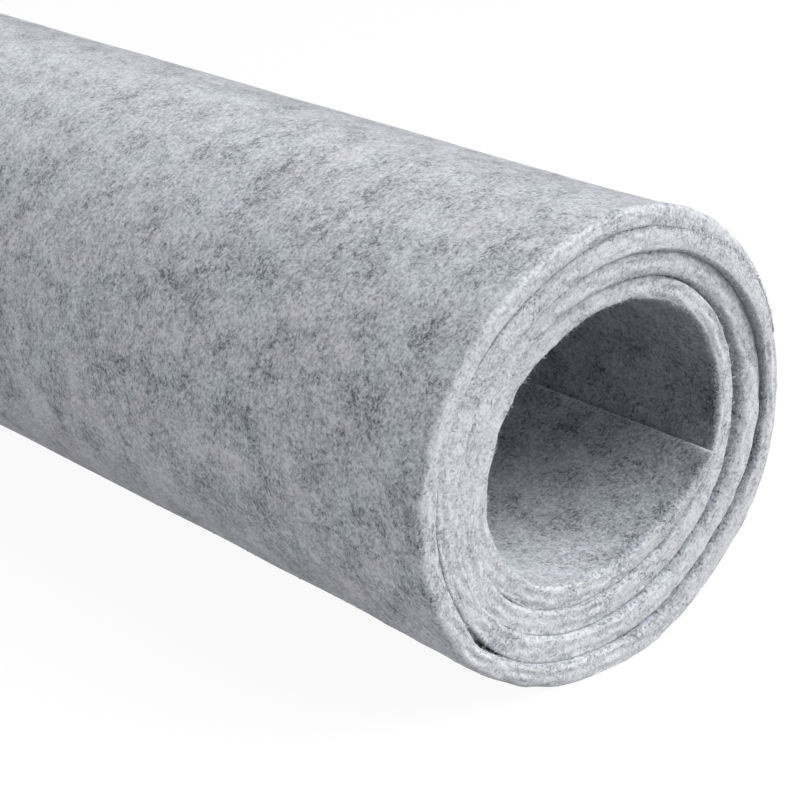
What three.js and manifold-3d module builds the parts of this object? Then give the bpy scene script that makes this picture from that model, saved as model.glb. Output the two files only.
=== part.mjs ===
// Calligraphy mat: one sheet of needle-punched felt, rolled up and lying on its side.
// Millimetres, +Z up. X runs along the roll, and the origin lies under its middle, at table height.
import * as THREE from "three";
import { mergeVertices } from "three/addons/utils/BufferGeometryUtils.js";
import Module from "manifold-3d";

// The sheet as it is cut
const sheetLength = 700; // the side that is rolled up
const sheetWidth = 500; // the side that lies along the roll
const feltThickness = 3;
const edgeChamfer = 0.6; // a cut felt edge is soft, so its corners are taken off
const innerEdgeThickness = 1.2; // the inner end is pressed thinner where it bears on the next turn
const outerEdgeThickness = 0.6; // the loose end is pressed thin where it meets the roll

// How it is wound, from the inner end out to the loose end. Angles are seen from the +X end,
// anticlockwise, with 0 at +Y and 90 degrees at +Z. The winding runs clockwise.
const coreRadius = 21.2; // to the middle of the felt at the inner end
const innerEndAngle = 343.5;
const turnGap = 0.55; // air between two turns where they lie tightest
const slack = 0.15; // further air per turn, halfway between the tight side and the loose side
const looseSide = -15; // the side on which the turns lie loosest
const ovalness = 1.3; // how far the roll is squeezed from round, each way
const ovalLongAxis = 28;
const springReach = 0.08; // turns over which the inner end springs out against the next turn
const tuckReach = 0.1; // turns over which the loose end is drawn in against the turn below it
const skewPerTurn = 0.9; // the sheet was rolled a little askew, so each turn is shifted along X
const restDepth = 0.5; // how deep the roll's own weight presses its underside flat

const stepsPerTurn = 36;
const feltColour = 0xb9bdc3;

const fullTurn = 2 * Math.PI;
const angleAt = (turn) => THREE.MathUtils.degToRad(innerEndAngle) - turn * fullTurn;
const leastPitch = feltThickness + turnGap;

// Air per turn beyond the tightest pitch, at a place on the winding
function slackAt(turn) {
  const fromLooseSide = angleAt(turn) - THREE.MathUtils.degToRad(looseSide);
  return slack * (1 + Math.cos(fromLooseSide));
}

// How near a place is to either end of the sheet, from 1 at the end towards 0 away from it
const nearInnerEnd = (turn) => Math.exp(-turn / springReach);
const nearLooseEnd = (turn, turns) => Math.exp((turn - turns) / tuckReach);

// How much thinner than the rest each end is pressed
const innerThinning = feltThickness - innerEdgeThickness;
const outerThinning = feltThickness - outerEdgeThickness;

// The felt thins towards both ends
function thicknessAt(turn, turns) {
  const thinning = innerThinning * nearInnerEnd(turn) + outerThinning * nearLooseEnd(turn, turns);
  return feltThickness - thinning;
}

// Radius of the middle of the felt: an oval spiral whose two ends lie against their neighbours
function radiusAt(turn, turns) {
  const fromLongAxis = angleAt(turn) - THREE.MathUtils.degToRad(ovalLongAxis);
  const oval = ovalness * Math.cos(2 * fromLongAxis);
  const spiral = coreRadius + turn * (leastPitch + slackAt(turn));
  const spring = (slackAt(0) + innerThinning / 2) * nearInnerEnd(turn);
  const tuck = (slackAt(turns) + outerThinning / 2) * nearLooseEnd(turn, turns);
  return spiral + oval + spring - tuck;
}

// A point of the wound felt, at a depth from the middle of the felt, outwards
function pointAt(turn, turns, along, depth) {
  const radius = radiusAt(turn, turns) + depth;
  const angle = angleAt(turn);
  const shift = skewPerTurn * (turn - turns / 2);
  return new THREE.Vector3(along + shift, radius * Math.cos(angle), radius * Math.sin(angle));
}

// The turns at which the section is placed: even steps, and the loose end itself
function stationsOf(turns) {
  const wholeSteps = Math.ceil(turns * stepsPerTurn - 0.5);
  const stations = Array.from({ length: wholeSteps }, (_, step) => step / stepsPerTurn);
  return [...stations, turns];
}

// Length along the middle of the felt
function woundLength(turns) {
  const points = stationsOf(turns).map((turn) => pointAt(turn, turns, 0, 0));
  return new THREE.CatmullRomCurve3(points).getLength();
}

// The number of turns that takes up the whole sheet, found by halving an interval
function turnsForSheet() {
  let few = 0.5;
  let many = sheetLength / (fullTurn * coreRadius) + 1;
  while (many - few > 1e-6) {
    const middle = (few + many) / 2;
    if (woundLength(middle) < sheetLength) {
      few = middle;
    } else {
      many = middle;
    }
  }
  return many;
}

// Section across the sheet with its corners taken off, as [along the roll, depth] pairs
function sheetSection(thickness) {
  const side = sheetWidth / 2;
  const face = thickness / 2;
  const chamfer = Math.min(edgeChamfer, 0.7 * face);
  return [
    [side, face - chamfer],
    [side - chamfer, face],
    [chamfer - side, face],
    [-side, face - chamfer],
    [-side, chamfer - face],
    [chamfer - side, -face],
    [side - chamfer, -face],
    [side, chamfer - face],
  ];
}

// Loft the section along the winding, closed by a cap at each end of the sheet
function woundSheet(turns) {
  const stations = stationsOf(turns);
  const points = stations.flatMap((turn) =>
    sheetSection(thicknessAt(turn, turns)).map(([along, depth]) => pointAt(turn, turns, along, depth)),
  );
  const corners = sheetSection(feltThickness).length;
  const last = points.length - corners;
  const triangles = [];
  for (let start = 0; start < last; start += corners) {
    for (let corner = 0; corner < corners; corner += 1) {
      const here = start + corner;
      const beside = start + ((corner + 1) % corners);
      triangles.push(here, beside + corners, beside);
      triangles.push(here, here + corners, beside + corners);
    }
  }
  for (let corner = 1; corner < corners - 1; corner += 1) {
    triangles.push(0, corner, corner + 1);
    triangles.push(last, last + corner + 1, last + corner);
  }
  const geometry = new THREE.BufferGeometry().setFromPoints(points);
  geometry.setIndex(triangles);
  return geometry;
}

// Least distance from the outside of a turn to the inside of the turn round it
function leastTurnGap(turns) {
  const finest = 8 * stepsPerTurn;
  const samples = Array.from({ length: Math.floor(turns * finest) }, (_, step) => step / finest);
  const outside = samples.map((turn) => pointAt(turn, turns, 0, thicknessAt(turn, turns) / 2));
  const inside = samples.map((turn) => pointAt(turn, turns, 0, -thicknessAt(turn, turns) / 2));
  let least = Infinity;
  for (let here = 0; here + finest / 2 < samples.length; here += 1) {
    for (let there = here + finest / 2; there < samples.length; there += 1) {
      const across = Math.hypot(outside[here].y - inside[there].y, outside[here].z - inside[there].z);
      least = Math.min(least, across);
    }
  }
  return least;
}

const wasm = await Module();
wasm.setup();

function solidOf(geometry) {
  const bare = geometry.clone();
  bare.deleteAttribute("normal");
  bare.deleteAttribute("uv");
  const merged = mergeVertices(bare);
  return new wasm.Manifold(
    new wasm.Mesh({
      numProp: 3,
      vertProperties: new Float32Array(merged.attributes.position.array),
      triVerts: new Uint32Array(merged.index.array),
    }),
  );
}

function geometryOf(solid) {
  const mesh = solid.getMesh();
  const geometry = new THREE.BufferGeometry();
  geometry.setAttribute("position", new THREE.BufferAttribute(mesh.vertProperties, mesh.numProp));
  geometry.setIndex(new THREE.BufferAttribute(mesh.triVerts, 1));
  geometry.computeVertexNormals();
  return geometry;
}

// Press the underside flat, with a block that takes off the lowest part of the outer turn
function restedFlat(geometry) {
  geometry.computeBoundingBox();
  const box = geometry.boundingBox;
  const size = box.getSize(new THREE.Vector3());
  const block = new THREE.BoxGeometry(2 * size.x, 2 * size.y, size.z);
  block.translate(0, 0, box.min.z + restDepth - size.z / 2);
  return geometryOf(solidOf(geometry).subtract(solidOf(block)));
}

const turns = turnsForSheet();
const felt = new THREE.MeshStandardMaterial({ color: feltColour, roughness: 0.95, metalness: 0 });
const feltSheet = new THREE.Mesh(restedFlat(woundSheet(turns)), felt);
feltSheet.name = "felt_sheet";

// Stand the roll on its flat underside, with the middle of its box over the origin
feltSheet.geometry.computeBoundingBox();
const rollBox = feltSheet.geometry.boundingBox;
const rollMiddle = rollBox.getCenter(new THREE.Vector3());
feltSheet.position.set(-rollMiddle.x, -rollMiddle.y, -rollBox.min.z);

const rollSize = rollBox.getSize(new THREE.Vector3());
console.log(`roll ${rollSize.toArray().map((side) => side.toFixed(1)).join(" x ")} mm`);
console.log(`${turns.toFixed(3)} turns, least gap between turns ${leastTurnGap(turns).toFixed(2)} mm`);

const feltMat = new THREE.Group();
feltMat.add(feltSheet);

export default feltMat;
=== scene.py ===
import math

import bpy
import numpy as np
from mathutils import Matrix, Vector


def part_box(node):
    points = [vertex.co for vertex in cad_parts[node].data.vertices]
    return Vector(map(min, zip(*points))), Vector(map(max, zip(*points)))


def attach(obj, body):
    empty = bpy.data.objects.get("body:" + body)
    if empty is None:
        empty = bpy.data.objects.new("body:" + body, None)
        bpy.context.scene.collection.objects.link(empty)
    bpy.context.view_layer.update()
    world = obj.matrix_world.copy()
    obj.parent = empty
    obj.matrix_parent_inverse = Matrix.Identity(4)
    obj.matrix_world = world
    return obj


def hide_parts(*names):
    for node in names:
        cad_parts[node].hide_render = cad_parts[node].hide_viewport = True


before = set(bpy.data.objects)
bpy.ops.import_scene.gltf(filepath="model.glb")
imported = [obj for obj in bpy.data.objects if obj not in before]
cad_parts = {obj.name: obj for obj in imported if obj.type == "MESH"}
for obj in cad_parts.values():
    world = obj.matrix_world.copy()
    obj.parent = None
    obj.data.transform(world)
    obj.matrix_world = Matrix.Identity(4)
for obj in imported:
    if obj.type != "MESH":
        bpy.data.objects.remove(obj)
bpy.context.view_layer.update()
scene = bpy.context.scene
mm = 0.001


# sRGB hex colour to linear RGBA
def linearColour(hexCode):
    channels = np.array([int(hexCode[i:i + 2], 16) for i in (1, 3, 5)]) / 255
    low = channels / 12.92
    high = ((channels + 0.055) / 1.055) ** 2.4
    return (*np.where(channels <= 0.04045, low, high).tolist(), 1.0)


# adds one node: settings are its own properties, inputs are values or sockets to link from
def addNode(tree, kind, inputs=None, **settings):
    node = tree.nodes.new(kind)
    for name, value in settings.items():
        setattr(node, name, value)
    for name, value in (inputs or {}).items():
        if isinstance(value, bpy.types.NodeSocket):
            tree.links.new(value, node.inputs[name])
        else:
            node.inputs[name].default_value = value
    return node


# the result of one step of arithmetic on two or three values or sockets
def calculate(tree, operation, *values, clamp=False):
    inputs = dict(enumerate(values))
    return addNode(tree, "ShaderNodeMath", inputs, operation=operation, use_clamp=clamp).outputs[0]


# a value carried from one range to another and held inside it
def rescaled(tree, value, fromRange, toRange=(0.0, 1.0)):
    inputs = {"Value": value, "From Min": fromRange[0], "From Max": fromRange[1],
              "To Min": toRange[0], "To Max": toRange[1]}
    return addNode(tree, "ShaderNodeMapRange", inputs).outputs[0]


# the outputs of a noise whose largest blotches are about a size in mm
def noise(tree, place, size, detail, roughness=0.5):
    inputs = {"Vector": place, "Scale": 1 / (size * mm), "Detail": detail, "Roughness": roughness}
    return addNode(tree, "ShaderNodeTexNoise", inputs).outputs


# an empty material with its node tree cleared
def newMaterial(name):
    material = bpy.data.materials.new(name)
    material.use_nodes = True
    material.node_tree.nodes.clear()
    return material, material.node_tree


# a mesh object from an array of points in metres and blocks of quads or triangles
def newPiece(name, points, faces, material):
    mesh = bpy.data.meshes.new(name)
    mesh.from_pydata(points.reshape(-1, 3), [], [face for block in faces for face in block.tolist()])
    mesh.validate()
    mesh.shade_smooth()
    mesh.materials.append(material)
    piece = bpy.data.objects.new(name, mesh)
    scene.collection.objects.link(piece)
    return piece


# a value for each point of a piece, for its material to read
def addAttribute(piece, name, kind, field, values):
    attribute = piece.data.attributes.new(name, kind, "POINT")
    attribute.data.foreach_set(field, values.astype(np.float32).ravel())


# smooth random relief over a plane: cosine waves of about one size, in random directions
def ripple(across, along, size, seed):
    waves = 14
    shortest, longest = 0.7, 1.5   # of the size
    rng = np.random.default_rng(seed)
    least = (0, shortest, 0)
    most = (2 * np.pi, longest, 2 * np.pi)
    total = np.zeros(np.broadcast(across, along).shape)
    for heading, stretch, phase in rng.uniform(least, most, (waves, 3)):
        steps = 2 * np.pi / (size * stretch)
        total += np.cos(steps * (np.cos(heading) * across + np.sin(heading) * along) + phase)
    return total * math.sqrt(2 / waves)


# from one value to another by a share
def blended(first, second, share):
    return (1 - share) * np.array(first) + share * np.array(second)


# how the soft sheet lies: the solid's winding, fluffed up so that the turns touch. In millimetres and
# degrees where a line doesn't say turns; angles are seen from +X, anticlockwise from +Y
roll = {
    "length": 700.0,
    "width": 500.0,
    "thickness": 3.59,
    "innerEdgeThickness": 1.2,   # the inner end bears on the next turn
    "outerEdgeThickness": 0.1,   # the loose end thins out against the roll
    "coreRadius": 21.2,
    "innerEndAngle": 346.0,
    "turnGap": -0.02,            # the turns press into each other a little
    "slack": 0.15,
    "looseSide": -15.0,
    "ovalness": 1.3,
    "ovalLongAxis": 28.0,
    "springReach": 0.08,         # turns
    "taperReach": 0.195,         # turns
    "taperKnee": 0.03,           # how softly the taper starts
    "skewPerTurn": 0.9,
    "tipForward": 2.5,           # how far the inner end's corner comes forward
    "tipReach": 0.1,             # turns
    "leftBack": 0.7,             # how far the outermost turn lies back at the left
    "leftBackAt": 3.56,          # turns
    "leftBackSpread": 0.1,       # turns
    "restDepth": 0.5,            # how far its weight presses the underside flat
}

# the soft surface, in millimetres. A corner of a cut edge is a quarter ellipse, given by its reach into
# the thickness and along the roll. The place of a corner is an angle and its spread, in degrees
felt = {
    "outerCorner": (0.75, 0.7),
    "outermostFrom": 1.1,              # turns before the loose end at which the outermost turn starts
    "coveredCorner": (0.4, 0.1),       # the outer corner below another turn
    "lowerCorner": (1.0, 0.65),        # and the same at the lower right
    "lowerCornerAt": (308.0, 36.0),
    "tightCorner": (0.5, 0.11),        # the inner corner where the turns lie tight
    "grooveCorner": (1.25, 1.35),      # the inner corner of the outermost turn at the upper left
    "grooveCornerAt": (128.0, 34.0),
    "leftCorner": (0.9, 0.5),          # and at the left
    "leftCornerAt": (195.0, 38.0),
    "looseCorner": (1.2, 1.7),         # the inner corner where the turns lie loose
    "looseCornerAt": (-10.0, 45.0),
    "looseByTurn": ((1.0, 1.95, 2.95, 3.2), (1.0, 1.2, 0.75, 0.9)),   # turns, and the share of it there
    "looseGapAt": (8.0, 32.0),         # where the felt doesn't fill the slack
    "coreCorner": (1.3, 1.5),          # the free inner corner round the core
    "coreCornerAt": (308.0, 42.0),
    "pressedCorner": (0.4, 0.3),       # where the inner end bears on it
    "pressedReach": 0.05,              # turns
    "cornerChange": 0.15,              # turns in which a corner passes into that of the next turn
    "cornerShare": 0.95,               # share of the thickness that two corners may take up
    "cornerStart": 40.0,               # degrees of a tight corner's quarter ellipse that are left out
    "seamFade": 0.4,                   # share of the taper at which the loose end's seam has closed
    "seamOpens": 0.02,                 # turns before the loose end in which the corner below comes free
    "seamCorner": 0.97,                # share of a corner that the closed seam takes away
    "seamPress": 0.12,                 # how far the closed seam is pressed together
    "crown": 0.06,                     # how far the middle of a cut edge stands out
    "edgeWander": (0.2, 38.0, 3),      # how far the cut edge wanders, over what length, and a seed
    "wanderFade": 7.0,                 # how far in from the edge it fades
    "wanderApart": 300.0,              # keeps the two edges from wandering alike
    "edgeNibble": (0.08, 2.2, 4),      # the same for the raggedness of the edge
    "nibbleFade": 0.8,
    "nibbleApart": 90.0,
    "nibbleFiner": 1.6,                # how much finer it is through the thickness
    "faceSwell": (0.08, 34.0, 5),      # swelling of the faces, which neighbouring turns share
    "swellTurn": 190.0,                # usual length of a turn
    "faceLumps": (0.05, 6.0, 6),       # bumps of the free outer and inner faces
    "stationStep": 1.25,               # spacing of the sections along the sheet
    "endSoft": 0.8,                    # how far back the sheet's two ends are rounded
    "endSections": 7,
    "endThinning": 0.75,               # share of the thickness that the rounding takes away
    "flatMargin": 0.3,                 # between a face's last point and the widest corner
    "faceStep": 0.7,                   # first step over a face from there
    "faceStepGrowth": 1.32,            # the next steps grow by this
    "faceFinePoints": 14,
    "faceCoarsePoints": 14,            # even steps from there to the middle of the face
    "cornerPoints": 9,
    "cutPoints": 8,
    "cutBorder": 0.1,                  # the cut edge's look goes on round the corner as far as this
    "cutFade": 0.8,                    # and fades out over this
}

# where a turn leaves its even course: the angle in degrees and the whole turns before it, how far its
# inner and its outer face move outwards, the spread in degrees and the reach from the near end
lifts = (
    {"at": 222.0, "turn": 3, "inner": 0.95, "outer": 0.6, "spread": 7.5, "reach": 25.0},
    {"at": 150.0, "turn": 3, "inner": 0.22, "outer": 0.0, "spread": 34.0, "reach": 20.0},
    {"at": 226.0, "turn": 0, "inner": -0.4, "outer": -0.4, "spread": 5.0, "reach": 9.0},
    {"at": 5.0, "turn": 0, "inner": 0.0, "outer": -0.4, "spread": 45.0, "reach": 60.0},
    {"at": 5.0, "turn": 1, "inner": 0.3, "outer": 0.9, "spread": 45.0, "reach": 60.0},
    {"at": 5.0, "turn": 2, "inner": 0.65, "outer": -0.4, "spread": 38.0, "reach": 60.0},
    {"at": 5.0, "turn": 3, "inner": -0.4, "outer": -0.4, "spread": 38.0, "reach": 60.0},
    {"at": 335.0, "turn": 3, "inner": 0.4, "outer": 0.6, "spread": 25.0, "reach": 60.0},
    {"at": 288.0, "turn": 3, "inner": 0.35, "outer": 0.5, "spread": 14.0, "reach": 60.0},
    {"at": 62.0, "turn": 3, "inner": 0.0, "outer": 0.7, "spread": 18.0, "reach": 5.0},
    {"at": 62.0, "turn": 3, "inner": 0.0, "outer": -0.3, "spread": 25.0, "reach": 150.0},
    {"at": 240.0, "turn": 3, "inner": 0.0, "outer": -0.35, "spread": 20.0, "reach": 400.0},
    {"at": 235.0, "turn": 3, "inner": 0.1, "outer": 0.2, "spread": 12.0, "reach": 8.0},
    {"at": 40.0, "turn": 2, "inner": 0.0, "outer": 0.5, "spread": 20.0, "reach": 60.0},
    {"at": 40.0, "turn": 3, "inner": 0.5, "outer": 0.5, "spread": 20.0, "reach": 60.0},
)

halfWidth = roll["width"] / 2
innerThinning = roll["thickness"] - roll["innerEdgeThickness"]
outerThinning = roll["thickness"] - roll["outerEdgeThickness"]


# angle at a number of turns from the inner end, in radians, seen from +X
def angleAt(turn):
    return math.radians(roll["innerEndAngle"]) - turn * 2 * np.pi


# air per turn beyond the tightest pitch
def slackAt(turn):
    return roll["slack"] * (1 + np.cos(angleAt(turn) - math.radians(roll["looseSide"])))


# from 1 at the inner end towards 0 along the sheet
def nearInnerEnd(turn):
    return np.exp(-turn / roll["springReach"])


# from 1 at the loose end evenly down to 0 at the start of the taper, with a soft knee
def nearLooseEnd(turn, turns):
    ease = 1 - (turns - turn) / roll["taperReach"]
    return (ease + np.sqrt(ease ** 2 + roll["taperKnee"])) / 2


# from 1 at an angle towards 0 away from it, in degrees
def nearAngle(turn, where, spread):
    return np.exp((np.cos(angleAt(turn) - math.radians(where)) - 1) / math.radians(spread) ** 2)


def onLooseSide(turn):
    return nearAngle(turn, *felt["looseCornerAt"])


# the felt swells to fill the slack, but not on the loose side, and it thins towards both ends
def thicknessAt(turn, turns):
    swell = slackAt(turn) * (1 - nearAngle(turn, *felt["looseGapAt"]))
    thinning = innerThinning * nearInnerEnd(turn) + outerThinning * nearLooseEnd(turn, turns)
    return roll["thickness"] + swell * (1 - thinning / roll["thickness"]) - thinning


# radius of the middle of the felt: an oval spiral whose two ends lie against their neighbours
def radiusAt(turn, turns):
    pitch = roll["thickness"] + roll["turnGap"] + slackAt(turn)
    oval = roll["ovalness"] * np.cos(2 * (angleAt(turn) - math.radians(roll["ovalLongAxis"])))
    spring = (slackAt(0) + innerThinning / 2) * nearInnerEnd(turn)
    tuck = (slackAt(turns) + outerThinning / 2) * nearLooseEnd(turn, turns)
    return roll["coreRadius"] + turn * pitch + oval + spring - tuck


# distance along the middle of the felt at closely spaced turns
def lengthAlong(turns):
    places = 4000
    turn = np.linspace(0, turns, places)
    radius = radiusAt(turn, turns)
    line = np.stack([radius * np.cos(angleAt(turn)), radius * np.sin(angleAt(turn))], 1)
    steps = np.linalg.norm(np.diff(line, axis=0), axis=1)
    return turn, np.concatenate([[0], np.cumsum(steps)])


# turns that take up the whole sheet, by halving an interval
def turnsForSheet():
    few, many = 0.5, 10.0
    halvings = 50
    for _ in range(halvings):
        middle = (few + many) / 2
        if lengthAlong(middle)[1][-1] < roll["length"]:
            few = middle
        else:
            many = middle
    return middle


turns = turnsForSheet()
turnTable, lengthTable = lengthAlong(turns)

# the middle of the winding: the roll stands on the solid's resting height, centred on the solid's box
nodeLow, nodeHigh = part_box("felt_sheet")
outline = radiusAt(turnTable, turns) + thicknessAt(turnTable, turns) / 2
outlineY = outline * np.cos(angleAt(turnTable))
outlineZ = outline * np.sin(angleAt(turnTable))
windingY = (nodeLow.y + nodeHigh.y) / 2 / mm - (outlineY.min() + outlineY.max()) / 2
windingZ = nodeLow.z / mm - outlineZ.min() - roll["restDepth"]
nearEnd = Vector((nodeHigh.x, windingY * mm, windingZ * mm))
outerAngle = math.degrees(angleAt(turns)) % 360
print(f"wound {turns:.3f} turns, loose end at {outerAngle:.1f} degrees")
print(f"middle of the winding at y {windingY:.2f}, z {windingZ:.2f} mm")

# camera: a long lens a little above the near end, looking along the roll's visible side
cameraSettings = {
    "lens": 109.5,
    "sensorWidth": 36.0,
    "fromNearEnd": Vector((224.6, -230.5, 127.4)) * mm,   # from the middle of the winding at the near end
    "lookAlong": Vector((-0.7153, 0.6059, -0.3480)),
}
cameraData = bpy.data.cameras.new("camera")
cameraData.lens = cameraSettings["lens"]
cameraData.sensor_width = cameraSettings["sensorWidth"]
camera = bpy.data.objects.new("camera", cameraData)
camera.location = nearEnd + cameraSettings["fromNearEnd"]
camera.rotation_euler = cameraSettings["lookAlong"].to_track_quat("-Z", "Y").to_euler()
scene.collection.objects.link(camera)
scene.camera = camera
print("camera at", tuple(round(v, 4) for v in camera.location))


# from 0 where the loose end's seam is open to 1 where the end lies level and close on the turn below it
def seamClosed(turn):
    share = np.clip(nearLooseEnd(turn, turns) / felt["seamFade"], 0, 1)
    return share ** 2 * (3 - 2 * share)


# the same for the turn below the loose end
def seamAbove(turn):
    return seamClosed(turn + 1) * np.clip((turns - turn - 1) / felt["seamOpens"], 0, 1)


# a point of the wound felt, in metres, from its place along the roll and outwards from the middle of the
# felt. Each turn lies further towards +X than the one inside it, but the inner end's corner comes forward,
# the outermost turn lies back at the left and the loose end lies level with the turn below it
def woundPoint(turn, along, depth):
    radius = radiusAt(turn, turns) + depth
    angle = angleAt(turn)
    skew = roll["skewPerTurn"] * (turn - turns / 2 - seamClosed(turn))
    back = roll["leftBack"] * np.exp(-((turn - roll["leftBackAt"]) / roll["leftBackSpread"]) ** 2)
    x = along + skew - back + roll["tipForward"] * np.exp(-turn / roll["tipReach"])
    y = windingY + radius * np.cos(angle)
    z = windingZ + radius * np.sin(angle)
    return np.stack([x, y, z], -1) * mm


# reaches of a cut edge's outer and inner corner, as rows of (into the thickness, along the roll)
def edgeCorners(turn, half):
    change = felt["cornerChange"]
    outermost = np.clip((turn - turns + felt["outermostFrom"]) / change, 0, 1)[:, None]
    inner = felt["tightCorner"]
    for corner in ("leftCorner", "grooveCorner"):
        inner = blended(inner, felt[corner], outermost * nearAngle(turn, *felt[corner + "At"])[:, None])
    loose = np.interp(turn, *felt["looseByTurn"])[:, None] * np.array(felt["looseCorner"])
    inner = blended(inner, loose, onLooseSide(turn)[:, None])
    core = np.clip((1 - turn) / change, 0, 1) * nearAngle(turn, *felt["coreCornerAt"])
    inner = np.maximum(inner, core[:, None] * np.array(felt["coreCorner"]))
    bearing = np.exp(-np.abs(turn - 1) / felt["pressedReach"])[:, None]
    inner = blended(inner, felt["pressedCorner"], bearing)
    inner = inner * (1 - felt["seamCorner"] * seamClosed(turn))[:, None]
    lower = nearAngle(turn, *felt["lowerCornerAt"])[:, None]
    outer = blended(felt["coveredCorner"], felt["lowerCorner"], lower)
    outer = blended(outer, felt["outerCorner"], outermost)
    outer = outer * (1 - felt["seamCorner"] * seamAbove(turn))[:, None]
    fits = np.minimum(1, 2 * felt["cornerShare"] * half / (outer[:, 0] + inner[:, 0]))[:, None]
    return outer * fits, inner * fits


# how far a corner draws back, as a share of its reach along the roll, at a share of its reach into the
# thickness: a quarter ellipse without its first degrees, so that two tight turns meet in an open groove
def cornerBack(share, turn):
    start = math.radians(felt["cornerStart"]) * (1 - onLooseSide(turn))
    return (1 - np.sqrt(1 - (np.cos(start) * (1 - share)) ** 2)) / (1 - np.sin(start))


# swelling of the surface where a turn meets the next one, the same for both
def sharedSwell(turn, along):
    swell, size, seed = felt["faceSwell"]
    return swell * ripple(along, felt["swellTurn"] * turn, size, seed)


# how far a point moves outwards with the lifts, from its share of the way from the inner to the outer face
def liftAt(turn, along, outward):
    total = 0
    for lift in lifts:
        middle = ((roll["innerEndAngle"] - lift["at"]) % 360) / 360 + lift["turn"]
        bell = np.exp(-((turn - middle) * 360 / lift["spread"]) ** 2)
        near = np.exp(-(halfWidth - along) / lift["reach"])
        total = total + bell * near * (lift["inner"] + (lift["outer"] - lift["inner"]) * outward)
    return total


# moves points of the sheet to their soft place: the cut edges wander and are ragged, and the faces swell
# and sink with the turn that they touch. Takes and gives distances along the roll and outwards, in mm
def softened(turn, place, along, depth, half):
    side = np.sign(along)
    fromEdge = np.maximum(halfWidth - np.abs(along), 0)
    closed = seamClosed(turn)

    # along the roll; the loose end's edge wanders with that of the turn below it
    wander, size, seed = felt["edgeWander"]
    apart = felt["wanderApart"] * side
    below = np.interp(turn - 1, turnTable, lengthTable)
    edgeLine = blended(ripple(apart, place, size, seed), ripple(apart, below, size, seed), closed)
    along = along + np.exp(-fromEdge / felt["wanderFade"]) * wander * edgeLine
    nibble, size, seed = felt["edgeNibble"]
    ragged = nibble * (1 - np.maximum(closed, seamAbove(turn)))
    through = felt["nibbleFiner"] * depth + felt["nibbleApart"] * side
    along = along + np.exp(-fromEdge / felt["nibbleFade"]) * ragged * ripple(through, place, size, seed)

    # outwards; only the free faces have lumps
    outward = np.clip(depth / (2 * half) + 0.5, 0, 1)
    taper = np.clip(nearLooseEnd(turn, turns), 0, 1)
    innerSwell = sharedSwell(turn - 1, along)
    swell = innerSwell + (sharedSwell(turn, along) - innerSwell) * outward * (1 - taper)
    lumps, size, seed = felt["faceLumps"]
    free = np.where(turn > turns - 1, outward * (1 - taper), 0) - np.where(turn < 1, 1 - outward, 0)
    swell = swell + free * lumps * ripple(along, place, size, seed)
    return along, depth + swell + liftAt(turn, along, outward) - felt["seamPress"] * closed


# half of the section's closed loop, from the -X end over one face to the +X end and round its cut edge:
# the face, the leading corner's arc, the cut edge itself and the trailing corner's arc. A point lies at
# base - cornerBack(lead) * leadAlong - cornerBack(trail) * trailAlong along the roll, and at
# level * half + leadDrop * leadDepth + trailDrop * trailDepth in depth. Turned round, it is the other half
def halfLoop():
    flatEnd = halfWidth - felt["looseCorner"][1] - felt["flatMargin"]
    growth = felt["faceStepGrowth"]
    fine = felt["faceStep"] * (growth ** np.arange(felt["faceFinePoints"]) - 1) / (growth - 1)
    coarse = np.linspace(fine[-1], flatEnd, felt["faceCoarsePoints"])[1:-1]
    steps = np.concatenate([fine, coarse])
    face = np.concatenate([steps - flatEnd, [0], (flatEnd - steps)[::-1]])
    arc = 1 - np.cos(np.linspace(0, np.pi / 2, felt["cornerPoints"]))
    across = np.linspace(1, 0, felt["cutPoints"])[1:-1]
    crown = felt["crown"] * 4 * across * (1 - across)
    onFace, onArc, onCut = 0 * face, 0 * arc, 0 * across
    base = np.concatenate([face, halfWidth + onArc, halfWidth + crown, halfWidth + onArc])
    lead = np.concatenate([onFace + 1, arc, onCut + 1, onArc + 1])
    trail = np.concatenate([onFace + 1, onArc + 1, onCut + 1, arc[::-1]])
    level = np.concatenate([onFace + 1, onArc + 1, 2 * across - 1, onArc - 1])
    leadDrop = np.concatenate([onFace, -arc, -across, onArc])
    trailDrop = np.concatenate([onFace, onArc, 1 - across, arc[::-1]])
    return (base, lead, trail, level, leadDrop, trailDrop), len(face), 2 * len(arc) + len(across)


# places of the sections along the sheet in mm, and how far each end's rounding thins the sheet there
def sheetStations():
    soft = felt["endSoft"]
    arc = np.linspace(np.pi / 2, 0, felt["endSections"])
    rounded = soft * (1 - np.sin(arc))
    count = round((roll["length"] - 2 * soft) / felt["stationStep"])
    middle = np.linspace(soft, roll["length"] - soft, count + 1)[1:-1]
    place = np.concatenate([rounded, middle, roll["length"] - rounded[::-1]])
    thinned = felt["endThinning"] * (1 - np.cos(arc))
    return place, np.concatenate([thinned, 0 * middle, thinned[::-1]])


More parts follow.
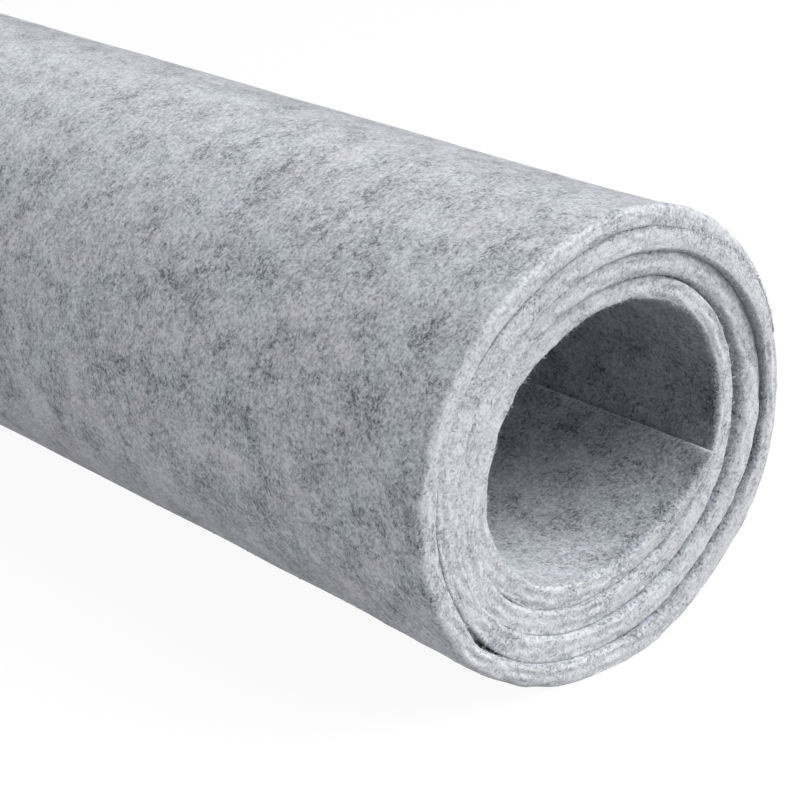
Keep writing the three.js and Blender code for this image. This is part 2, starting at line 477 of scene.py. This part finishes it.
# the felt sheet: the section carried along the winding, given its soft relief and closed at both ends
def feltSheet(material):
    (base, lead, trail, level, leadDrop, trailDrop), faceCount, edgeCount = halfLoop()
    place, thinned = sheetStations()
    turn = np.interp(place, lengthTable, turnTable)
    half = thicknessAt(turn, turns) / 2 * (1 - thinned)
    outer, inner = edgeCorners(turn, half)
    leadBack = cornerBack(lead, turn[:, None])
    trailBack = cornerBack(trail, turn[:, None])
    along, depth = [], []
    for side, first, last in ((1, outer, inner), (-1, inner, outer)):
        along.append(side * (base - leadBack * first[:, 1:] - trailBack * last[:, 1:]))
        depth.append(side * (level * half[:, None] + leadDrop * first[:, :1] + trailDrop * last[:, :1]))
    along = np.concatenate(along, 1)
    depth = np.concatenate(depth, 1)
    turnGrid = np.broadcast_to(turn[:, None], depth.shape)
    placeGrid = np.broadcast_to(place[:, None], depth.shape)
    softAlong, softDepth = softened(turnGrid, placeGrid, along, depth, half[:, None])
    points = woundPoint(turnGrid, softAlong, softDepth)
    points[..., 2] = np.maximum(points[..., 2], nodeLow.z)

    # quads between neighbouring sections, then the two end caps across the thickness
    rows, loop = depth.shape
    index = np.arange(rows * loop).reshape(rows, loop)
    beside = np.roll(index, -1, 1)
    quads = np.stack([index[:-1], index[1:], beside[1:], beside[:-1]], -1).reshape(-1, 4)
    upper = np.arange(-(edgeCount // 2), faceCount + edgeCount // 2)
    mirrored = (2 * faceCount + edgeCount - 1 - upper) % loop
    upper = upper % loop
    cap = np.stack([upper[:-1], upper[1:], mirrored[1:], mirrored[:-1]], -1)
    faces = np.concatenate([quads, cap, (cap + (rows - 1) * loop)[:, ::-1]])

    # for the material: each point's place in the flat sheet, and how near it is to a cut edge
    piece = newPiece("felt_mat", points, [faces], material)
    flatPlace = np.stack([along, placeGrid, depth], -1) * mm
    addAttribute(piece, "sheetPlace", "FLOAT_VECTOR", "vector", flatPlace)
    fromEdge = np.maximum(halfWidth - np.abs(along), 0)
    cutEdge = 1 - np.clip((fromEdge - felt["cutBorder"]) / felt["cutFade"], 0, 1)
    addAttribute(piece, "cutEdge", "FLOAT", "value", cutEdge)
    print("felt sheet:", len(piece.data.vertices), "points,", 2 * len(faces), "triangles")
    return piece


# needle-punched polyester felt: pale grey fibres with darker ones mixed in, laid in all directions and
# tangled, so it is matt, hairy and cloudy, and a little lighter at a glancing angle. Sizes in mm
feltLook = {
    "dark": "#555a62",
    "violet": "#c8c6d2",
    "green": "#c4cad0",
    # the cut colour is paler than the faces: painted light, which lifts the end face that the lamps light
    # less than the top
    "cut": "#cdced2",
    "fibreLength": 1.5,          # along a streak
    "fibreWidth": 0.3,           # a bundle: single fibres of 0.03 mm are too fine to show
    "headings": 5,
    "firstHeading": 0.2,         # radians
    "headingShift": (37.0, 11.0, 0.0),   # between two headings, so that their streaks differ
    "bendSize": 3.0,
    "bendReach": 1.1,            # less than a fibre's length
    "grainSize": 0.5,            # ends and knots of fibres
    "grainRoughness": 0.6,
    "cloudSize": 7.0,            # patches with more dark fibres
    "cloudRoughness": 0.95,      # they go on down to the size of a fibre
    "tintSize": 10.0,            # drift between batches of fibre
    "tintRange": (0.38, 0.62),
    "speckCloud": (0.4, 0.62),   # single dark fibres: from a clear place to the middle of a cloud
    "speckLevel": (0.8, 0.6),    # they show above this level of the streaks
    "speckSoft": 0.15,
    "hairLevel": (0.34, 0.22),   # single light fibres show below this
    "darkShare": 0.42,
    # how far the cut edge is painted paler: painted light for the end face, which gets less light than the
    # top
    "cutPaintedLight": 0.8,             # share of the pale cut colour on a cut edge
    "cutContrast": 0.85,         # how far the dark fibres show there
    "cutDark": -0.12,            # and how many fewer there are
    "reliefGrain": 0.3,          # weight of the grain in the relief, beside the streaks
    "reliefStrength": 0.42,
    "reliefDepth": 0.4,
}

# each pattern's weight in the share of dark fibre, and its usual value
darkWeights = {
    "cloud": (2.2, 0.5),
    "grain": (1.2, 0.5),
    "streaks": (2.2, 0.5),
    "speck": (0.4, 0.1),
    "hair": (-0.2, 0.05),
}


# the streaks of fibres at a place of the sheet, in several headings, each from a noise drawn out along the
# fibre: the highest, the lowest and the mean of them
def fibreStreaks(tree, place):
    headings = feltLook["headings"]
    size = (feltLook["fibreLength"] * mm, feltLook["fibreWidth"] * mm, feltLook["fibreWidth"] * mm)
    highest, lowest, mean = 0.0, 1.0, 0.0
    for step in range(headings):
        drawn = addNode(tree, "ShaderNodeMapping",
                        {"Vector": place, "Scale": size,
                         "Location": [shift * step * mm for shift in feltLook["headingShift"]],
                         "Rotation": (0, 0, math.pi * step / headings + feltLook["firstHeading"])},
                        vector_type="TEXTURE")
        streak = addNode(tree, "ShaderNodeTexNoise",
                         {"Vector": drawn.outputs[0], "Scale": 1.0, "Detail": 1.0}).outputs[0]
        highest = calculate(tree, "MAXIMUM", highest, streak)
        lowest = calculate(tree, "MINIMUM", lowest, streak)
        mean = calculate(tree, "MULTIPLY_ADD", streak, 1 / headings, mean)
    return highest, lowest, mean


def feltMaterial():
    material, tree = newMaterial("needle_felt")
    place = addNode(tree, "ShaderNodeAttribute", attribute_name="sheetPlace").outputs["Vector"]
    cut = addNode(tree, "ShaderNodeAttribute", attribute_name="cutEdge").outputs["Fac"]

    # bend the fibres: move the pattern about
    warp = noise(tree, place, feltLook["bendSize"], detail=1.0)["Color"]
    centred = addNode(tree, "ShaderNodeVectorMath", {0: warp, 1: (0.5, 0.5, 0.5)}, operation="SUBTRACT")
    bend = addNode(tree, "ShaderNodeVectorMath",
                   {0: centred.outputs[0], "Scale": feltLook["bendReach"] * mm}, operation="SCALE")
    bent = addNode(tree, "ShaderNodeVectorMath", {0: place, 1: bend.outputs[0]}, operation="ADD").outputs[0]

    # the patterns. A single dark fibre shows at a lower level of the streaks inside a cloud
    cloud = noise(tree, bent, feltLook["cloudSize"], detail=5.0, roughness=feltLook["cloudRoughness"])[0]
    grain = noise(tree, place, feltLook["grainSize"], detail=2.0, roughness=feltLook["grainRoughness"])[0]
    highest, lowest, streaks = fibreStreaks(tree, bent)
    level = rescaled(tree, cloud, feltLook["speckCloud"], feltLook["speckLevel"])
    above = calculate(tree, "SUBTRACT", highest, level)
    speck = rescaled(tree, above, (0.0, feltLook["speckSoft"]))
    hair = rescaled(tree, lowest, feltLook["hairLevel"])

    # the share of dark fibre: each pattern's weight times its distance from its usual value
    patterns = {"cloud": cloud, "grain": grain, "streaks": streaks, "speck": speck, "hair": hair}
    share = feltLook["darkShare"]
    for name, (weight, usual) in darkWeights.items():
        distance = calculate(tree, "SUBTRACT", patterns[name], usual)
        share = calculate(tree, "MULTIPLY_ADD", distance, weight, share)
    shown = rescaled(tree, cut, (0.0, 1.0), (1.0, feltLook["cutContrast"]))
    share = calculate(tree, "MULTIPLY", share, shown)
    share = calculate(tree, "MULTIPLY_ADD", cut, feltLook["cutDark"], share, clamp=True)

    # faint drift of tint, a cut edge painted paler, which is painted light that makes up for the end face
    # getting less light than the top, and the dark fibres over both
    tint = noise(tree, place, feltLook["tintSize"], detail=3.0)[0]
    tinted = rescaled(tree, tint, feltLook["tintRange"])
    paintedLight = calculate(tree, "MULTIPLY", cut, feltLook["cutPaintedLight"])
    colour = linearColour(feltLook["violet"])
    for factor, over in ((tinted, "green"), (paintedLight, "cut"), (share, "dark")):
        colour = addNode(tree, "ShaderNodeMix",
                         {"Factor": factor, "A": colour, "B": linearColour(feltLook[over])},
                         data_type="RGBA").outputs["Result"]

    # relief of the fibres, and a sheen for the nap
    height = calculate(tree, "MULTIPLY_ADD", grain, feltLook["reliefGrain"], streaks)
    bump = addNode(tree, "ShaderNodeBump",
                   {"Height": height, "Strength": feltLook["reliefStrength"],
                    "Distance": feltLook["reliefDepth"] * mm})
    shader = addNode(tree, "ShaderNodeBsdfPrincipled",
                     {"Base Color": colour, "Roughness": 0.95, "Specular IOR Level": 0.15, "IOR": 1.5,
                      "Sheen Weight": 0.48, "Sheen Roughness": 0.5, "Normal": bump.outputs[0]})
    addNode(tree, "ShaderNodeOutputMaterial", {"Surface": shader.outputs[0]})
    return material


mat = feltSheet(feltMaterial())

# loose fibres that stand off the felt, thickest where it is cut. Lengths in mm
fuzz = {
    "seed": 11,
    "perCutEdge": 21000,
    "besideCorners": 0.7,        # share of these that grow beside a corner
    "cornerPower": 0.2,          # power that draws them to it
    "cutWithin": 0.98,           # share of the thickness in which they grow
    "cutRise": (-0.3, 1.0),      # share of the lift
    "outside": 3600,
    "outsideTurns": 0.98,        # turns before the loose end at which the outside starts
    "outsideWithin": 0.497,      # of the width, to each side
    "outsideRun": 1.5,           # they run further than those on a cut edge
    "outsideRise": (-0.2, 0.8),
    "perEnd": 500,
    "endWithin": 0.495,
    "endInset": 0.2,             # from the sheet's ends
    "endRun": (0.2, 1.0),        # share of the run
    "endRise": 0.2,              # and of it across the thickness
    "lengthInset": 1.0,          # no fibre of a cut edge is nearer to the sheet's ends
    "thickness": 0.08,           # real fibres are half as thick, which is too fine to show
    "tip": 0.4,                  # share of it at the tip
    "root": 0.05,                # how deep in the felt a fibre starts
    "run": 0.36,                 # usual distance that a fibre runs over the surface
    "lift": 0.25,                # how far it stands off
    "tonePower": 3,              # most fibres are light
    "light": "#d0d2d6",
    "dark": "#787c84",
}


# how far a cut edge's rounded corners draw back from the sheet's width, at a depth
def edgeDrawBack(turn, depth, half):
    outer, inner = edgeCorners(turn, half)
    back = 0
    for reach, fromFace in ((outer, half - depth), (inner, half + depth)):
        back = back + reach[:, 1] * cornerBack(np.clip(fromFace / reach[:, 0], 0, 1), turn)
    return back


# starts of fibres at one cut edge as (along the roll, along the sheet, depth) in mm, and their runs
def cutEdgeRuns(rng, side):
    count = fuzz["perCutEdge"]
    place = rng.uniform(fuzz["lengthInset"], roll["length"] - fuzz["lengthInset"], count)
    turn = np.interp(place, lengthTable, turnTable)
    half = thicknessAt(turn, turns) / 2
    beside = rng.uniform(0, 1, count) < fuzz["besideCorners"]
    across = rng.uniform(-fuzz["cutWithin"], fuzz["cutWithin"], count)
    across = np.sign(across) * np.abs(across) ** np.where(beside, fuzz["cornerPower"], 1)
    depth = half * np.where(turn > turns - 1, -np.abs(across), across)
    along = side * (halfWidth - edgeDrawBack(turn, depth, half) - fuzz["root"])
    rise = side * fuzz["lift"] * rng.uniform(*fuzz["cutRise"], count)
    spread = rng.normal(0, fuzz["run"], (2, count))
    return np.stack([along, place, depth], 1), np.stack([rise, *spread], 1)


# the same for the outside of the roll and for the sheet's two ends
def outsideRuns(rng):
    run, within, count = fuzz["run"], fuzz["outsideWithin"], fuzz["outside"]
    turn = rng.uniform(turns - fuzz["outsideTurns"], turns - roll["taperReach"], count)
    place = np.interp(turn, turnTable, lengthTable)
    along = rng.uniform(-within, within, count) * roll["width"]
    starts = [np.stack([along, place, thicknessAt(turn, turns) / 2 - fuzz["root"]], 1)]
    spread = rng.normal(0, fuzz["outsideRun"] * run, (2, count))
    rise = fuzz["lift"] * rng.uniform(*fuzz["outsideRise"], count)
    runs = [np.stack([*spread, rise], 1)]
    within, count = fuzz["endWithin"], fuzz["perEnd"]
    for place, heading in ((fuzz["endInset"], -1), (roll["length"] - fuzz["endInset"], 1)):
        along = rng.uniform(-within, within, count) * roll["width"]
        starts.append(np.stack([along, np.full(count, place), np.zeros(count)], 1))
        aside = rng.normal(0, run, count)
        onward = heading * run * rng.uniform(*fuzz["endRun"], count)
        rise = rng.normal(0, fuzz["endRise"] * run, count)
        runs.append(np.stack([aside, onward, rise], 1))
    return np.concatenate(starts), np.concatenate(runs)


# vectors of length 1 square to two others
def squareTo(first, second):
    square = np.cross(first, second)
    return square / np.linalg.norm(square, axis=-1, keepdims=True)


# loose fibres as thin tapered three-sided rods from their start to the end of their run, in the sheet's
# own directions, wound up with the sheet
def looseFibres(name, starts, runs, rng, material):
    line = np.stack([starts, starts + runs], 1)
    startTurn = np.interp(starts[:, 1], lengthTable, turnTable)[:, None]
    turn = startTurn + (line[..., 1] - starts[:, None, 1]) / (2 * np.pi * radiusAt(startTurn, turns))
    half = thicknessAt(startTurn, turns) / 2
    centre = woundPoint(turn, *softened(turn, line[..., 1], line[..., 0], line[..., 2], half))
    heading = centre[:, 1] - centre[:, 0]
    anyDirection = (0.31, 0.52, 0.80)
    across = squareTo(heading, anyDirection)
    upright = squareTo(heading, across)
    corner = np.arange(3) * 2 * np.pi / 3
    ring = across[:, None] * np.cos(corner)[:, None] + upright[:, None] * np.sin(corner)[:, None]
    radius = fuzz["thickness"] / 2 * mm * np.array([1, fuzz["tip"]])[:, None, None]
    points = centre[:, :, None] + radius * ring[:, None]
    points[..., 2] = np.maximum(points[..., 2], nodeLow.z)

    # three quads round each rod, and a triangle at each end
    count = len(starts)
    here = np.arange(3)
    beside = (here + 1) % 3
    rod = np.stack([here, beside, 3 + beside, 3 + here], -1)
    ends = np.array([[0, 2, 1], [3, 4, 5]])
    first = 6 * np.arange(count)[:, None, None]
    faces = [(first + rod).reshape(-1, 4), (first + ends).reshape(-1, 3)]
    piece = newPiece(name, points, faces, material)
    tone = rng.uniform(0, 1, count) ** fuzz["tonePower"]
    addAttribute(piece, "fibreTone", "FLOAT", "value", np.repeat(tone, 6))
    print(name, count, "fibres,", 8 * count, "triangles")
    return piece


# single polyester fibres: smooth, pale or dark grey
def fibreMaterial():
    material, tree = newMaterial("polyester_fibre")
    tone = addNode(tree, "ShaderNodeAttribute", attribute_name="fibreTone").outputs["Fac"]
    colour = addNode(tree, "ShaderNodeMix",
                     {"Factor": tone, "A": linearColour(fuzz["light"]), "B": linearColour(fuzz["dark"])},
                     data_type="RGBA").outputs["Result"]
    shader = addNode(tree, "ShaderNodeBsdfPrincipled",
                     {"Base Color": colour, "Roughness": 0.6, "Specular IOR Level": 0.3, "IOR": 1.55})
    addNode(tree, "ShaderNodeOutputMaterial", {"Surface": shader.outputs[0]})
    return material


def allFibres():
    rng = np.random.default_rng(fuzz["seed"])
    material = fibreMaterial()
    return [looseFibres("felt_fuzz_near", *cutEdgeRuns(rng, 1), rng, material),
            looseFibres("felt_fuzz_far", *cutEdgeRuns(rng, -1), rng, material),
            looseFibres("felt_fuzz_outside", *outsideRuns(rng), rng, material)]


fibres = allFibres()

# floor, light and background, in metres
stage = {
    "floorSize": 6.0,
    "floorDrop": 0.05 * mm,      # below the roll, so that the two don't share a plane
    "floorColour": "#88888a",
    "floorLift": 0.75,           # share of even white in the floor that the camera sees
    "floorWhite": 1.25,
    "ambient": 0.03,
}
lamps = {
    "key": {"from": (0.52, 0.39, 0.76), "distance": 1.5, "size": 1.4, "power": 38.0},
    "front": {"from": (0.94, -0.03, 0.34), "distance": 3.0, "size": 0.6, "power": 20.5},
    "fill": {"from": (-0.10, -0.99, 0.05), "distance": 3.0, "size": 0.4, "power": 38.5},
    "farEnd": {"from": (-0.94, -0.34, 0.03), "distance": 3.0, "size": 0.3, "power": 22.0},
}
white = (1, 1, 1, 1)


# 1 for rays from the camera, or in a reflection or through glass, and 0 for light that reaches surfaces
def seenRay(tree):
    path = addNode(tree, "ShaderNodeLightPath").outputs
    glossy = calculate(tree, "MAXIMUM", path["Is Camera Ray"], path["Is Glossy Ray"])
    return calculate(tree, "MAXIMUM", glossy, path["Is Transmission Ray"])


# matt floor that takes the roll's shadow and is mostly white to the camera
def paleFloor():
    material, tree = newMaterial("pale_floor")
    matt = addNode(tree, "ShaderNodeBsdfDiffuse", {"Color": linearColour(stage["floorColour"])})
    even = addNode(tree, "ShaderNodeEmission", {"Color": white, "Strength": stage["floorWhite"]})
    lift = calculate(tree, "MULTIPLY", seenRay(tree), stage["floorLift"])
    mixed = addNode(tree, "ShaderNodeMixShader", {0: lift, 1: matt.outputs[0], 2: even.outputs[0]})
    addNode(tree, "ShaderNodeOutputMaterial", {"Surface": mixed.outputs[0]})
    reach = stage["floorSize"] / 2
    corners = np.array([(-reach, -reach, 0), (reach, -reach, 0), (reach, reach, 0), (-reach, reach, 0)])
    corners[:, 2] = nodeLow.z - stage["floorDrop"]
    floor = newPiece("floor", corners, [np.array([[0, 1, 2, 3]])], material)


# white background to the camera, little light from it, and the lamps round the near end
def studioLight():
    world = bpy.data.worlds.new("studio")
    world.use_nodes = True
    tree = world.node_tree
    tree.nodes.clear()
    strength = rescaled(tree, seenRay(tree), (0.0, 1.0), (stage["ambient"], 1.0))
    sky = addNode(tree, "ShaderNodeBackground", {"Color": white, "Strength": strength})
    addNode(tree, "ShaderNodeOutputWorld", {"Surface": sky.outputs[0]})
    scene.world = world
    for name, lamp in lamps.items():
        light = bpy.data.lights.new(name, "AREA")
        light.shape = "DISK"
        light.size = lamp["size"]
        light.energy = lamp["power"]
        holder = bpy.data.objects.new(name, light)
        direction = Vector(lamp["from"]).normalized()
        holder.location = nearEnd + direction * lamp["distance"]
        holder.rotation_euler = (-direction).to_track_quat("-Z", "Y").to_euler()
        scene.collection.objects.link(holder)
    scene.view_settings.view_transform = "Standard"


paleFloor()
studioLight()
print("studio ready")

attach(mat, "root")
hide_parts("felt_sheet")
for piece in fibres:
    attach(piece, "root")
